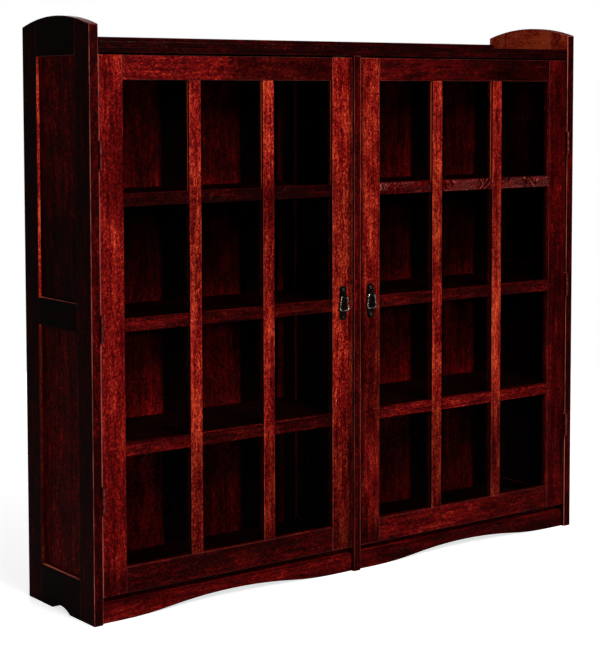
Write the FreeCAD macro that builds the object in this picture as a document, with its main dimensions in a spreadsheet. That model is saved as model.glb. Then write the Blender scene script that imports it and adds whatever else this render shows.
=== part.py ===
"""Two-door glazed bookcase in quarter-sawn oak, as separate pieces in one frame.

The frame: X runs to the right, Y to the back, Z up, in millimetres. The origin is on the floor under the
middle of the case, so the centre partition stands on it. The left half is modelled, and the right half is
its mirror image in the plane X = 0.
"""
import FreeCAD, Part
import math
import operator
import os
import Sketcher

SIZES = {
    # The case
    "case_width": 1600.0,
    "case_depth": 328.0,
    "crown_height": 1455.0,
    "crown_rise": 24.0,
    "side_thick": 25.0,
    "partition_thick": 22.0,
    # Side and partition frames
    "frame_stile_width": 68.0,
    "bottom_rail_height": 98.0,
    "middle_rail_height": 68.0,
    "side_top_rail_height": 97.0,
    "partition_top_rail_height": 68.0,
    "panel_thick": 6.0,
    "groove_depth": 8.0,
    "panel_play": 1.0,
    "foot_cut_width": 90.0,
    "foot_cut_rise": 14.0,
    # Top
    "crown_over_board": 64.0,
    "top_board_thick": 19.0,
    "top_board_setback": 2.0,
    "front_rail_height": 13.0,
    "front_rail_depth": 22.0,
    "front_rail_setback": 3.0,
    "front_rail_rabbet_depth": 6.0,
    "gallery_height": 21.0,
    "gallery_thick": 18.0,
    # Bottom
    "bottom_board_height": 72.0,
    "bottom_board_thick": 25.0,
    "apron_setback": 10.0,
    "apron_thick": 22.0,
    "apron_rise": 21.0,
    # Back
    "back_thick": 9.0,
    "back_setback": 4.0,
    "back_rabbet": 8.0,
    # Shelves
    "shelf_thick": 20.0,
    "shelf_play": 1.0,
    "shelf_front_gap": 4.0,
    "shelf_pin_radius": 2.5,
    "shelf_pin_length": 16.0,
    "shelf_pin_sunk": 8.0,
    "shelf_pin_inset": 22.0,
    # Doors
    "door_gap": 2.0,
    "door_setback": 4.0,
    "door_thick": 22.0,
    "door_cover_height": 6.0,
    "door_top_gap": 5.0,
    "door_stop_gap": 0.5,
    "door_stile_width": 66.0,
    "door_top_rail_height": 60.0,
    "door_bottom_rail_height": 63.0,
    "muntin_width": 34.0,
    "bar_height": 31.0,
    "rabbet_width": 10.0,
    "rabbet_depth": 11.0,
    "glass_thick": 3.0,
    "glass_play": 1.0,
    "tenon_length": 30.0,
    "tenon_thick": 8.0,
    "tenon_shoulder": 10.0,
    # Hinges
    "hinge_height": 64.0,
    "hinge_from_end": 236.0,
    "leaf_width": 24.0,
    "leaf_thick": 1.6,
    "leaf_let_in": 0.8,
    "knuckle_radius": 4.5,
    "knuckle_gap": 0.3,
    "hinge_pin_radius": 2.0,
    "hinge_pin_play": 0.05,
    "hinge_pin_head_radius": 3.4,
    "hinge_pin_head": 1.5,
    "leaf_screw_inset": 14.0,
    "leaf_screw_spacing": 22.0,
    "screw_radius": 1.6,
    "screw_length": 16.0,
    "flat_head_radius": 3.4,
    # Pulls
    "pull_above_middle": 7.0,
    "plate_width": 23.0,
    "plate_height": 90.0,
    "plate_thick": 2.5,
    "plate_corner": 6.0,
    "plate_screw_inset": 9.5,
    "pan_head_radius": 4.0,
    "pan_head_height": 2.0,
    "slot_width": 1.0,
    "slot_depth": 1.0,
    "pivot_above_middle": 17.5,
    "lug_width": 10.0,
    "lug_radius": 5.0,
    "lug_reach": 6.0,
    "bail_radius": 2.5,
    "bail_play": 0.05,
    "bail_drop": 36.0,
    "bail_top_half": 10.0,
    "bail_bottom_half": 15.0,
    "bail_bend": 6.0,
    "bail_end_half": 1.0,
    # Catches
    "catch_width": 40.0,
    "catch_height": 30.0,
    "catch_depth": 14.0,
    "catch_inset": 8.0,
    # How far every cutting shape runs past the wood that it cuts
    "overrun": 1.0,
}

# Counts, which no size changes
COLUMNS = 3
ROWS = 4
KNUCKLES = 5
LEAF_SCREWS = 3

# The apron's foot and the turn of its double curve, as shares of half its length
APRON_FOOT_SHARE = 0.154
APRON_TURN_SHARE = 0.52

# How much of a side's spare thickness lies outside its panels
SIDE_PANEL_RECESS_SHARE = 0.53

# How far up the sides the middle of their middle rail lies
MID_RAIL_SHARE = 0.504

OPERATIONS = {"+": operator.add, "-": operator.sub, "*": operator.mul, "/": operator.truediv}

doc = FreeCAD.newDocument("bookcase")
NODES = []


def value_of(amount):
    return amount.value if isinstance(amount, Size) else amount


def text_of(amount):
    return amount.text if isinstance(amount, Size) else repr(amount)


def worked_out(left, sign, right):
    """A size made of two others, which keeps both its value and its expression."""
    value = OPERATIONS[sign](value_of(left), value_of(right))
    return Size(value, "(%s %s %s)" % (text_of(left), sign, text_of(right)))


class Size:
    """A size that knows its value and the expression that it comes from."""

    def __init__(self, value, text):
        self.value = value
        self.text = text

    def __add__(self, other):
        return worked_out(self, "+", other)

    def __sub__(self, other):
        return worked_out(self, "-", other)

    def __mul__(self, other):
        return worked_out(self, "*", other)

    def __truediv__(self, other):
        return worked_out(self, "/", other)

    def __neg__(self):
        return worked_out(-1, "*", self)


def root(amount):
    return Size(math.sqrt(amount.value), "sqrt(%s)" % amount.text)


class Sheet:
    """The driving sizes, each a named cell of the spreadsheet, read as attributes."""

    def __init__(self, sizes):
        sheet = doc.addObject("Spreadsheet::Sheet", "Sizes")
        for row, (alias, value) in enumerate(sizes.items(), start=1):
            sheet.set("A%d" % row, alias)
            sheet.set("B%d" % row, str(value))
            sheet.setAlias("B%d" % row, alias)
            setattr(self, alias, Size(value, "Sizes." + alias))


size = Sheet(SIZES)


def bind(thing, path, amount):
    """Ties one property of an object to the sheet, or leaves it at zero."""
    if isinstance(amount, Size):
        thing.setExpression(path, amount.text)
    elif amount != 0:
        raise ValueError("a bare length was given for %s.%s" % (thing.Name, path))


def place(thing, at):
    for letter, amount in zip("xyz", at):
        bind(thing, "Placement.Base." + letter, amount)


def box(label, x, y, z):
    """A board between two corners, each side given as its low and high place."""
    board = doc.addObject("Part::Box", label)
    for side, (low, high) in zip(("Length", "Width", "Height"), (x, y, z)):
        bind(board, side, high - low)
    place(board, (x[0], y[0], z[0]))
    return board


# Turns that point a cylinder or cone, which stands along Z, another way
POINTING = {
    "x": FreeCAD.Rotation(FreeCAD.Vector(0, 1, 0), 90),
    "-x": FreeCAD.Rotation(FreeCAD.Vector(0, 1, 0), -90),
    "y": FreeCAD.Rotation(FreeCAD.Vector(1, 0, 0), -90),
    "-y": FreeCAD.Rotation(FreeCAD.Vector(1, 0, 0), 90),
    "z": FreeCAD.Rotation(),
}


def round_bar(label, way, at, length, radius):
    bar = doc.addObject("Part::Cylinder", label)
    bar.Placement = FreeCAD.Placement(FreeCAD.Vector(), POINTING[way])
    bind(bar, "Radius", radius)
    bind(bar, "Height", length)
    place(bar, at)
    return bar


def taper(label, way, at, length, near_radius, far_radius):
    cone = doc.addObject("Part::Cone", label)
    cone.Placement = FreeCAD.Placement(FreeCAD.Vector(), POINTING[way])
    bind(cone, "Radius1", near_radius)
    bind(cone, "Radius2", far_radius)
    bind(cone, "Height", length)
    place(cone, at)
    return cone


def fuse(label, *shapes):
    joined = doc.addObject("Part::MultiFuse", label)
    joined.Shapes = list(shapes)
    joined.Refine = True
    return joined


def cut(label, base, *tools):
    trimmed = doc.addObject("Part::Cut", label)
    trimmed.Base = base
    trimmed.Tool = tools[0] if len(tools) == 1 else fuse(label + "_waste", *tools)
    return trimmed


def group(label, *solids):
    """Separate solids that share one node."""
    several = doc.addObject("Part::Compound", label)
    several.Links = list(solids)
    return several


def mirror(label, source):
    """The image of a left piece in the middle plane of the case."""
    image = doc.addObject("Part::Mirroring", label)
    image.Source = source
    image.Normal = FreeCAD.Vector(1, 0, 0)
    return image


def node(thing):
    """Marks a finished piece, whose label names its file."""
    NODES.append(thing)
    return thing


def both(left):
    """A left piece and its right twin, each a node of its own."""
    node(left)
    return node(mirror(left.Label.replace("left_", "right_", 1), left))


def pair(label, left):
    """A left piece and its right twin in one node."""
    return node(group(label, left, mirror(label + "_right", left)))


def origin_plane(body, role):
    return next(plane for plane in body.Origin.OriginFeatures if plane.Role == role)


def sketch_on(body, name, role):
    sketch = body.newObject("Sketcher::SketchObject", name)
    sketch.AttachmentSupport = [(origin_plane(body, role), "")]
    sketch.MapMode = "FlatFace"
    return sketch


def arc_middle(start, end, radius):
    """The middle of an arc: a positive radius bulges to the left of the way from start to end."""
    chord = end - start
    half = chord.Length / 2
    sagitta = abs(radius) - (radius * radius - half * half) ** 0.5
    left = FreeCAD.Vector(-chord.y, chord.x, 0).normalize()
    return (start + end) / 2 + left * (sagitta if radius > 0 else -sagitta)


def hold(sketch, constraint, amount):
    """Adds a dimension and ties it to the sheet."""
    index = sketch.addConstraint(constraint)
    sketch.setExpression("Constraints[%d]" % index, amount.text)


def draw_outline(sketch, corners, arcs=(), closed=True):
    """Draws edges between corners, all dimensioned from the sketch's origin.

    arcs follows the edges: None for a straight one, or the radius and the bulge, 1 to the left or -1.
    """
    places = [FreeCAD.Vector(value_of(x), value_of(y), 0) for x, y in corners]
    count = len(corners) if closed else len(corners) - 1
    ends = []
    for i in range(count):
        start, end = places[i], places[(i + 1) % len(places)]
        if i < len(arcs) and arcs[i]:
            radius, bulge = arcs[i]
            middle = arc_middle(start, end, radius.value * bulge)
            edge = sketch.addGeometry(Part.Arc(start, middle, end), False)
            hold(sketch, Sketcher.Constraint("Radius", edge, radius.value), radius)
        else:
            edge = sketch.addGeometry(Part.LineSegment(start, end), False)
        first, last = 1, 2
        tip = sketch.getPoint(edge, last)
        if tip.distanceToPoint(start) < tip.distanceToPoint(end):
            first, last = last, first
        ends.append((edge, first, last))
    for i in range(count if closed else count - 1):
        edge, _, last = ends[i]
        following, first, _ = ends[(i + 1) % len(ends)]
        sketch.addConstraint(Sketcher.Constraint("Coincident", edge, last, following, first))
    anchors = [(edge, first) for edge, first, _ in ends]
    if not closed:
        anchors.append((ends[-1][0], ends[-1][2]))
    for (edge, point), (x, y) in zip(anchors, corners):
        for amount, kind, axis in ((x, "DistanceX", -2), (y, "DistanceY", -1)):
            if value_of(amount) == 0:
                sketch.addConstraint(Sketcher.Constraint("PointOnObject", edge, point, axis))
            else:
                dimension = Sketcher.Constraint(kind, -1, 1, edge, point, value_of(amount))
                hold(sketch, dimension, amount)


def arc_radius(run, rise):
    """The radius of an arc that starts level and climbs rise over run."""
    return (run * run + rise * rise) / (rise * 2)


# Places shared by the pieces, worked out from the sizes
front = -(size.case_depth / 2)
rear = size.case_depth / 2
side_out = -(size.case_width / 2)
side_in = side_out + size.side_thick
partition_left = -(size.partition_thick / 2)
stile_front_edge = front + size.frame_stile_width
stile_rear_edge = rear - size.frame_stile_width
top_face = size.crown_height - size.crown_over_board
top_under = top_face - size.top_board_thick
front_rail_under = top_under + size.front_rail_rabbet_depth - size.front_rail_height
front_rail_face = front + size.front_rail_setback
bottom_under = size.bottom_board_height - size.bottom_board_thick
back_face = rear - size.back_setback - size.back_thick
door_left = side_in + size.door_gap
door_right = partition_left - size.door_gap
door_face = front + size.door_setback
door_back = door_face + size.door_thick
stop_face = door_back + size.door_stop_gap
glazed_left = door_left + size.door_stile_width
glazed_right = door_right - size.door_stile_width
door_bottom = size.bottom_board_height - size.door_cover_height
door_top = front_rail_under - size.door_top_gap
door_middle = (door_bottom + door_top) / 2
glazed_bottom = door_bottom + size.door_bottom_rail_height
glazed_top = door_top - size.door_top_rail_height
pane_width = (glazed_right - glazed_left - size.muntin_width * (COLUMNS - 1)) / COLUMNS
pane_height = (glazed_top - glazed_bottom - size.bar_height * (ROWS - 1)) / ROWS
rabbet_face = door_face + size.rabbet_depth
pin_x = side_in + size.door_gap / 2
pin_y = front - size.knuckle_radius - size.knuckle_gap


def column_left(column):
    return glazed_left + (pane_width + size.muntin_width) * column


def row_bottom(row):
    return glazed_bottom + (pane_height + size.bar_height) * row


def hinge_middles():
    reach = door_middle - door_bottom - size.hinge_from_end
    return (door_middle - reach, door_middle, door_middle + reach)


def shelf_under(row):
    """The underside of the shelf, whose middle is level with the glazing bar below a row of panes."""
    return row_bottom(row) - size.bar_height / 2 - size.shelf_thick / 2


# Framed sides and partition

def arch_waste(x):
    """What is cut away over the arched top of a side."""
    radius = arc_radius(size.case_depth / 2, size.crown_rise)
    blank = box("arch_blank", x, (front - size.overrun, rear + size.overrun),
                (size.crown_height - size.crown_rise * 2, size.crown_height + size.overrun))
    disc = round_bar("arch_disc", "x", (x[0], 0, size.crown_height - radius), x[1] - x[0], radius)
    return cut("arch_waste", blank, disc)


def foot_waste(x):
    """The shallow arch cut into the underside of a side's bottom rail."""
    radius = arc_radius(size.foot_cut_width / 2, size.foot_cut_rise)
    return round_bar("foot_waste", "x", (x[0], 0, size.foot_cut_rise - radius), x[1] - x[0], radius)


def frame_stile(label, x, panel_x, y, height, groove_y, *wastes):
    """An upright of a frame, grooved along its inner edge for the rails' tongues and the panels."""
    board = box(label + "_board", x, y, (0, height))
    groove = box(label + "_groove", panel_x, groove_y, (0, height + size.overrun))
    return node(cut(label, board, groove, *wastes))


def frame_rail(label, x, panel_x, z, grooves, *wastes):
    """A rail with a tongue at each end and a groove along each edge that holds a panel."""
    board = box(label + "_board", x, (stile_front_edge, stile_rear_edge), z)
    tongue = box(label + "_tongue", panel_x,
                 (stile_front_edge - size.groove_depth, stile_rear_edge + size.groove_depth), z)
    joined = fuse(label + "_blank", board, tongue)
    channels = [box(label + "_channel", panel_x,
                    (stile_front_edge - size.groove_depth - size.overrun,
                     stile_rear_edge + size.groove_depth + size.overrun), span)
                for span in grooves]
    return node(cut(label, joined, *channels, *wastes))


def frame_panel(label, panel_x, low_edge, high_edge):
    """A flat panel held in the grooves, with a little play all round."""
    into = size.groove_depth - size.panel_play
    return node(box(label, panel_x, (stile_front_edge - into, stile_rear_edge + into),
                    (low_edge - into, high_edge + into)))


def frame(prefix, x, panel_x, height, top_rail_bottom, front_wastes, rear_wastes, tops=(), foot_cuts=()):
    """The seven pieces of a framed side or of the partition."""
    depth = size.groove_depth
    mid_low = size.crown_height * MID_RAIL_SHARE - size.middle_rail_height / 2
    mid_high = mid_low + size.middle_rail_height
    low = size.bottom_rail_height
    frame_stile(prefix + "_front_stile", x, panel_x, (front, stile_front_edge), height,
                (stile_front_edge - depth, stile_front_edge + size.overrun), *front_wastes, *tops)
    frame_stile(prefix + "_rear_stile", x, panel_x, (stile_rear_edge, rear), height,
                (stile_rear_edge - size.overrun, stile_rear_edge + depth), *rear_wastes, *tops)
    frame_rail(prefix + "_top_rail", x, panel_x, (top_rail_bottom, height),
               [(top_rail_bottom - size.overrun, top_rail_bottom + depth)], *tops)
    frame_rail(prefix + "_mid_rail", x, panel_x, (mid_low, mid_high),
               [(mid_low - size.overrun, mid_low + depth), (mid_high - depth, mid_high + size.overrun)])
    frame_rail(prefix + "_bottom_rail", x, panel_x, (0, low), [(low - depth, low + size.overrun)], *foot_cuts)
    frame_panel(prefix + "_upper_panel", panel_x, mid_high, top_rail_bottom)
    frame_panel(prefix + "_lower_panel", panel_x, low, mid_low)


def shelf_pins():
    """Four pins under each shelf of the left bay: two in the side's stiles, two in the partition's."""
    out_length = size.shelf_pin_length - size.shelf_pin_sunk
    side_pins = []
    partition_pins = []
    for row in range(1, ROWS):
        height = shelf_under(row) - size.shelf_pin_radius
        for y in (stile_front_edge - size.shelf_pin_inset, stile_rear_edge + size.shelf_pin_inset):
            side_pins.append(round_bar("side_shelf_pin", "x", (side_in - size.shelf_pin_sunk, y, height),
                                       size.shelf_pin_length, size.shelf_pin_radius))
            partition_pins.append(round_bar("partition_shelf_pin", "x",
                                            (partition_left - out_length, y, height),
                                            size.shelf_pin_length, size.shelf_pin_radius))
    return side_pins, partition_pins


# Hinges

def flat_screw(label, way, at):
    """A countersunk screw whose head lies flush with the leaf's face."""
    head = taper(label + "_head", way, at, size.leaf_thick, size.flat_head_radius, size.screw_radius)
    shank = round_bar(label + "_shank", way, at, size.screw_length, size.screw_radius)
    return fuse(label, head, shank)


def leaf_faces(toward):
    """The near and far faces of a hinge leaf, seen from the pin, on the side or the door."""
    near = size.door_gap / 2 + size.leaf_let_in - size.leaf_thick
    return pin_x + near * toward, pin_x + (near + size.leaf_thick) * toward


def leaf_screws(label, toward):
    """The screws of one leaf at each hinge, in a line up the leaf."""
    near, _ = leaf_faces(toward)
    y = front + size.leaf_screw_inset
    way = "x" if toward > 0 else "-x"
    return [flat_screw(label, way, (near, y, middle + size.leaf_screw_spacing * (step - LEAF_SCREWS // 2)))
            for middle in hinge_middles() for step in range(LEAF_SCREWS)]


def hinge_leaf(label, middle, toward, knuckles, screws):
    """A flat leaf with its knuckles round the pin."""
    faces = sorted(leaf_faces(toward), key=value_of)
    low = middle - size.hinge_height / 2
    plate = box(label + "_flat", faces, (front, front + size.leaf_width), (low, low + size.hinge_height))
    pieces = [plate]
    pitch = size.hinge_height / KNUCKLES
    for number in knuckles:
        bottom = low + pitch * number
        height = pitch
        if toward > 0:
            bottom = bottom + size.knuckle_gap
            height = pitch - size.knuckle_gap * 2
        pieces.append(round_bar(label + "_knuckle", "z", (pin_x, pin_y, bottom), height, size.knuckle_radius))
        pieces.append(box(label + "_neck", faces, (pin_y, front), (bottom, bottom + height)))
    bore = round_bar(label + "_bore", "z", (pin_x, pin_y, low - size.overrun),
                     size.hinge_height + size.overrun * 2, size.hinge_pin_radius + size.hinge_pin_play)
    return cut(label, fuse(label + "_blank", *pieces), bore, *screws)


def hinge_pin(middle):
    low = middle - size.hinge_height / 2
    shaft = round_bar("hinge_pin_shaft", "z", (pin_x, pin_y, low), size.hinge_height, size.hinge_pin_radius)
    foot = round_bar("hinge_pin_foot", "z", (pin_x, pin_y, low - size.hinge_pin_head),
                     size.hinge_pin_head, size.hinge_pin_head_radius)
    cap = round_bar("hinge_pin_cap", "z", (pin_x, pin_y, low + size.hinge_height),
                    size.hinge_pin_head, size.hinge_pin_head_radius)
    return fuse("hinge_pin", shaft, foot, cap)


def leaf_mortises(label, x):
    """The shallow seats cut for the leaves, open to the front."""
    return [box(label, x, (front - size.overrun, front + size.leaf_width),
                (middle - size.hinge_height / 2, middle + size.hinge_height / 2))
            for middle in hinge_middles()]


def leaf_set(label, toward, knuckles, screws):
    """The leaves of one kind at every hinge of the left door."""
    return [hinge_leaf(label, middle, toward, knuckles, screws[i * LEAF_SCREWS:(i + 1) * LEAF_SCREWS])
            for i, middle in enumerate(hinge_middles())]


case_leaf_screws = leaf_screws("case_hinge_screw", -1)
door_leaf_screws = leaf_screws("door_hinge_screw", 1)
case_leaves = leaf_set("case_hinge_leaf", -1, range(0, KNUCKLES, 2), case_leaf_screws)
door_leaves = leaf_set("door_hinge_leaf", 1, range(1, KNUCKLES, 2), door_leaf_screws)
side_pins, partition_pins = shelf_pins()

# The left side, whose right twin is its mirror image
first_side_node = len(NODES)
side_x = (side_out, side_in)
side_panel_left = side_out + (size.side_thick - size.panel_thick) * SIDE_PANEL_RECESS_SHARE
side_panel_x = (side_panel_left, side_panel_left + size.panel_thick)
back_seat = box("side_back_rabbet", (side_in - size.back_rabbet, side_in + size.overrun),
                (back_face, rear + size.overrun), (bottom_under, top_under))
frame("left_side", side_x, side_panel_x, size.crown_height, size.crown_height - size.side_top_rail_height,
      [*leaf_mortises("side_mortise", (side_in - size.leaf_let_in, side_in + size.overrun)),
       *case_leaf_screws, *side_pins[0::2]],
      [back_seat, *side_pins[1::2]], [arch_waste(side_x)], [foot_waste(side_x)])
for piece in NODES[first_side_node:]:
    node(mirror(piece.Label.replace("left_", "right_", 1), piece))

# The partition, framed like the sides, with the front rail and both backs let into it
half_panel = size.panel_thick / 2
partition_x = (partition_left, -partition_left)
rail_notch = box("partition_rail_notch", (partition_left - size.overrun, size.overrun - partition_left),
                 (front - size.overrun, front_rail_face + size.front_rail_depth),
                 (front_rail_under, top_under + size.overrun))
back_notch = box("partition_back_rabbet", (partition_left - size.overrun, partition_left + size.back_rabbet),
                 (back_face, rear + size.overrun), (bottom_under, top_under + size.overrun))
front_pins = group("partition_front_pins", *partition_pins[0::2])
rear_pins = group("partition_rear_pins", *partition_pins[1::2])
frame("partition", partition_x, (-half_panel, half_panel),
      top_under, top_under - size.partition_top_rail_height,
      [rail_notch, front_pins, mirror("partition_front_pins_right", front_pins)],
      [back_notch, mirror("partition_back_rabbet_right", back_notch),
       rear_pins, mirror("partition_rear_pins_right", rear_pins)])

# Boards of the case
between = (side_in, -side_in)
top_blank = box("top_board_blank", between, (front + size.top_board_setback, rear),
                (top_under, top_face))
top_rabbet = box("top_board_rabbet", between, (front, front_rail_face + size.front_rail_depth),
                 (top_under - size.overrun, top_under + size.front_rail_rabbet_depth))
node(cut("top_board", top_blank, top_rabbet))
node(box("front_top_rail", between, (front_rail_face, front_rail_face + size.front_rail_depth),
         (front_rail_under, front_rail_under + size.front_rail_height)))
node(box("gallery_rail", between, (rear - size.gallery_thick, rear),
         (top_face, top_face + size.gallery_height)))
pair("bottom_boards", box("left_bottom_board", (side_in, partition_left), (stop_face, back_face),
                          (bottom_under, size.bottom_board_height)))
pair("back_panels", box("left_back_panel", (side_in - size.back_rabbet, partition_left + size.back_rabbet),
                        (back_face, back_face + size.back_thick), (bottom_under, top_under)))


def left_apron():
    """The board under the left door, with a flat foot at each end and a double curve between them."""
    body = doc.addObject("PartDesign::Body", "left_apron")
    length = partition_left - side_in
    half = length / 2
    foot = half * APRON_FOOT_SHARE
    turn = half * APRON_TURN_SHARE
    turn_height = size.apron_rise * (turn - foot) / (half - foot)
    lower = arc_radius(turn - foot, turn_height)
    upper = arc_radius(half - turn, size.apron_rise - turn_height)
    corners = [(0, 0), (foot, 0), (turn, turn_height), (half, size.apron_rise),
               (length - turn, turn_height), (length - foot, 0), (length, 0),
               (length, bottom_under), (0, bottom_under)]
    sketch = sketch_on(body, "apron_outline", "XZ_Plane")
    draw_outline(sketch, corners, [None, (lower, -1), (upper, 1), (upper, 1), (lower, -1)])
    pad = body.newObject("PartDesign::Pad", "apron_pad")
    pad.Profile = sketch
    bind(pad, "Length", size.apron_thick)
    place(body, (side_in, front + size.apron_setback + size.apron_thick, 0))
    return body


pair("aprons", left_apron())

# Shelves and what carries them
for name, row in (("left_lower_shelf", 1), ("left_middle_shelf", 2), ("left_upper_shelf", 3)):
    both(box(name, (side_in + size.shelf_play, partition_left - size.shelf_play),
             (door_back + size.shelf_front_gap, back_face - size.shelf_play),
             (shelf_under(row), shelf_under(row) + size.shelf_thick)))
pair("shelf_pins", group("left_shelf_pins", *side_pins, *partition_pins))


# Pulls

def slotted_screw(label, x, face, z):
    """A round-headed screw on the plate, its slot level."""
    head = round_bar(label + "_head", "-y", (x, face, z), size.pan_head_height, size.pan_head_radius)
    shank = round_bar(label + "_shank", "y", (x, face, z), size.screw_length, size.screw_radius)
    reach = size.pan_head_radius + size.overrun
    slot = box(label + "_slot", (x - reach, x + reach),
               (face - size.pan_head_height - size.overrun, face - size.pan_head_height + size.slot_depth),
               (z - size.slot_width / 2, z + size.slot_width / 2))
    return cut(label, fuse(label + "_blank", head, shank), slot)


pull_x = door_right - size.door_stile_width / 2
plate_face = door_face - size.plate_thick
pivot_y = plate_face - size.lug_reach
pull_z = door_middle + size.pull_above_middle
pivot_z = pull_z + size.pivot_above_middle
screw_span = size.plate_height / 2 - size.plate_screw_inset
pull_screws = [slotted_screw("pull_screw", pull_x, plate_face, pull_z + screw_span * way)
               for way in (-1, 1)]


def pull_plate():
    """The backplate with clipped corners and one lug, bored for both ends of the bail."""
    body = doc.addObject("PartDesign::Body", "plate_body")
    wide, high, clip = size.plate_width, size.plate_height, size.plate_corner
    corners = [(clip, 0), (wide - clip, 0), (wide, clip), (wide, high - clip),
               (wide - clip, high), (clip, high), (0, high - clip), (0, clip)]
    sketch = sketch_on(body, "plate_outline", "XZ_Plane")
    draw_outline(sketch, corners)
    pad = body.newObject("PartDesign::Pad", "plate_pad")
    pad.Profile = sketch
    bind(pad, "Length", size.plate_thick)
    place(body, (pull_x - wide / 2, door_face, pull_z - high / 2))
    lug_x = (pull_x - size.lug_width / 2, pull_x + size.lug_width / 2)
    neck = box("lug_neck", lug_x, (pivot_y, door_face),
               (pivot_z - size.lug_radius, pivot_z + size.lug_radius))
    nose = round_bar("lug_nose", "x", (lug_x[0], pivot_y, pivot_z), size.lug_width, size.lug_radius)
    bore = round_bar("lug_bore", "x", (lug_x[0] - size.overrun, pivot_y, pivot_z),
                     size.lug_width + size.overrun * 2, size.bail_radius + size.bail_play)
    return cut("left_pull_plate", fuse("plate_blank", body, neck, nose), bore, *pull_screws)


def bail_path():
    """The left half of the bail's centre line from its end in the lug, with a bend at each corner.

    Each bend starts and ends where its arc touches the straight runs, so the rod has no kink.
    """
    top, bottom, drop = size.bail_top_half, size.bail_bottom_half, size.bail_drop
    splay = bottom - top
    leg = root(splay * splay + drop * drop)
    across = splay / leg
    down = drop / leg
    top_reach = size.bail_bend * drop / (leg + splay)
    bottom_reach = size.bail_bend * drop / (leg - splay)
    return [(-size.bail_end_half, 0),
            (top_reach - top, 0),
            (-top - top_reach * across, -(top_reach * down)),
            (bottom_reach * across - bottom, bottom_reach * down - drop),
            (bottom_reach - bottom, -drop)]


def pull_bail():
    """A round rod bent to a hanging trapezoid, its two ends turned in to the lug."""
    body = doc.addObject("PartDesign::Body", "left_pull_bail")
    path = sketch_on(body, "bail_path", "XZ_Plane")
    left_half = bail_path()
    points = left_half + [(-x, z) for x, z in reversed(left_half)]
    bends = [(size.bail_bend, -1) if number % 2 else None for number in range(len(points) - 1)]
    draw_outline(path, points, bends, closed=False)
    section = sketch_on(body, "bail_section", "YZ_Plane")
    bind(section, "AttachmentOffset.Base.z", -size.bail_end_half)
    circle = section.addGeometry(Part.Circle(FreeCAD.Vector(), FreeCAD.Vector(0, 0, 1),
                                             size.bail_radius.value), False)
    section.addConstraint(Sketcher.Constraint("Coincident", circle, 3, -1, 1))
    hold(section, Sketcher.Constraint("Radius", circle, size.bail_radius.value), size.bail_radius)
    doc.recompute()
    pipe = body.newObject("PartDesign::AdditivePipe", "bail_rod")
    pipe.Profile = (section, [""])
    pipe.Spine = (path, ["Edge%d" % (i + 1) for i in range(path.GeometryCount)])
    place(body, (pull_x, pivot_y, pivot_z))
    return body


both(pull_plate())
both(pull_bail())

# Catches: a magnet block under the top board behind each door, and a steel strike screw in the door
catch_right = partition_left - size.catch_inset
catch = box("left_catch", (catch_right - size.catch_width, catch_right),
            (stop_face, stop_face + size.catch_depth), (top_under - size.catch_height, top_under))
pair("door_catches", catch)
strike = round_bar("strike_screw", "-y", (catch_right - size.catch_width / 2, door_back,
                                          door_top - size.tenon_shoulder / 2),
                   size.door_thick / 2, size.flat_head_radius)


# Doors

def door_stile(label, x, rabbet_x, tenon_x, *wastes):
    """A door upright, rabbeted at the back for the glass and mortised for both rails."""
    board = box(label + "_board", x, (door_face, door_back), (door_bottom, door_top))
    rabbet = box(label + "_rabbet", rabbet_x, (rabbet_face, door_back + size.overrun),
                 (glazed_bottom - size.rabbet_width, glazed_top + size.rabbet_width))
    mortises = [box(label + "_mortise", tenon_x, tenon_y, span) for span in tenon_spans]
    return both(cut(label, board, rabbet, *mortises, *wastes))


def door_rail(label, z, rabbet_z, tenon_z):
    """A rail of the door, rabbeted at the back for the glass, with a tenon at each end."""
    board = box(label + "_board", (glazed_left, glazed_right), (door_face, door_back), z)
    tenon = box(label + "_tenon", (glazed_left - size.tenon_length, glazed_right + size.tenon_length),
                tenon_y, tenon_z)
    rabbet = box(label + "_rabbet", (glazed_left, glazed_right),
                 (rabbet_face, door_back + size.overrun), rabbet_z)
    return fuse(label, cut(label + "_shaped", board, rabbet), tenon)


tenon_low = door_face + (size.rabbet_depth - size.tenon_thick) / 2
tenon_y = (tenon_low, tenon_low + size.tenon_thick)
bottom_tenon = (door_bottom + size.tenon_shoulder, glazed_bottom - size.tenon_shoulder)
top_tenon = (glazed_top + size.tenon_shoulder, door_top - size.tenon_shoulder)
tenon_spans = (bottom_tenon, top_tenon)

door_stile("left_door_hinge_stile", (door_left, glazed_left),
           (glazed_left - size.rabbet_width, glazed_left + size.overrun),
           (glazed_left - size.tenon_length, glazed_left + size.overrun),
           *leaf_mortises("door_mortise", (door_left - size.overrun, door_left + size.leaf_let_in)),
           *door_leaf_screws)
door_stile("left_door_meeting_stile", (glazed_right, door_right),
           (glazed_right - size.overrun, glazed_right + size.rabbet_width),
           (glazed_right - size.overrun, glazed_right + size.tenon_length),
           *pull_screws, strike)
both(group("left_door_rails",
           door_rail("left_door_top_rail", (glazed_top, door_top),
                     (glazed_top - size.overrun, glazed_top + size.rabbet_width), top_tenon),
           door_rail("left_door_bottom_rail", (door_bottom, glazed_bottom),
                     (glazed_bottom - size.rabbet_width, glazed_bottom + size.overrun), bottom_tenon)))


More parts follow.
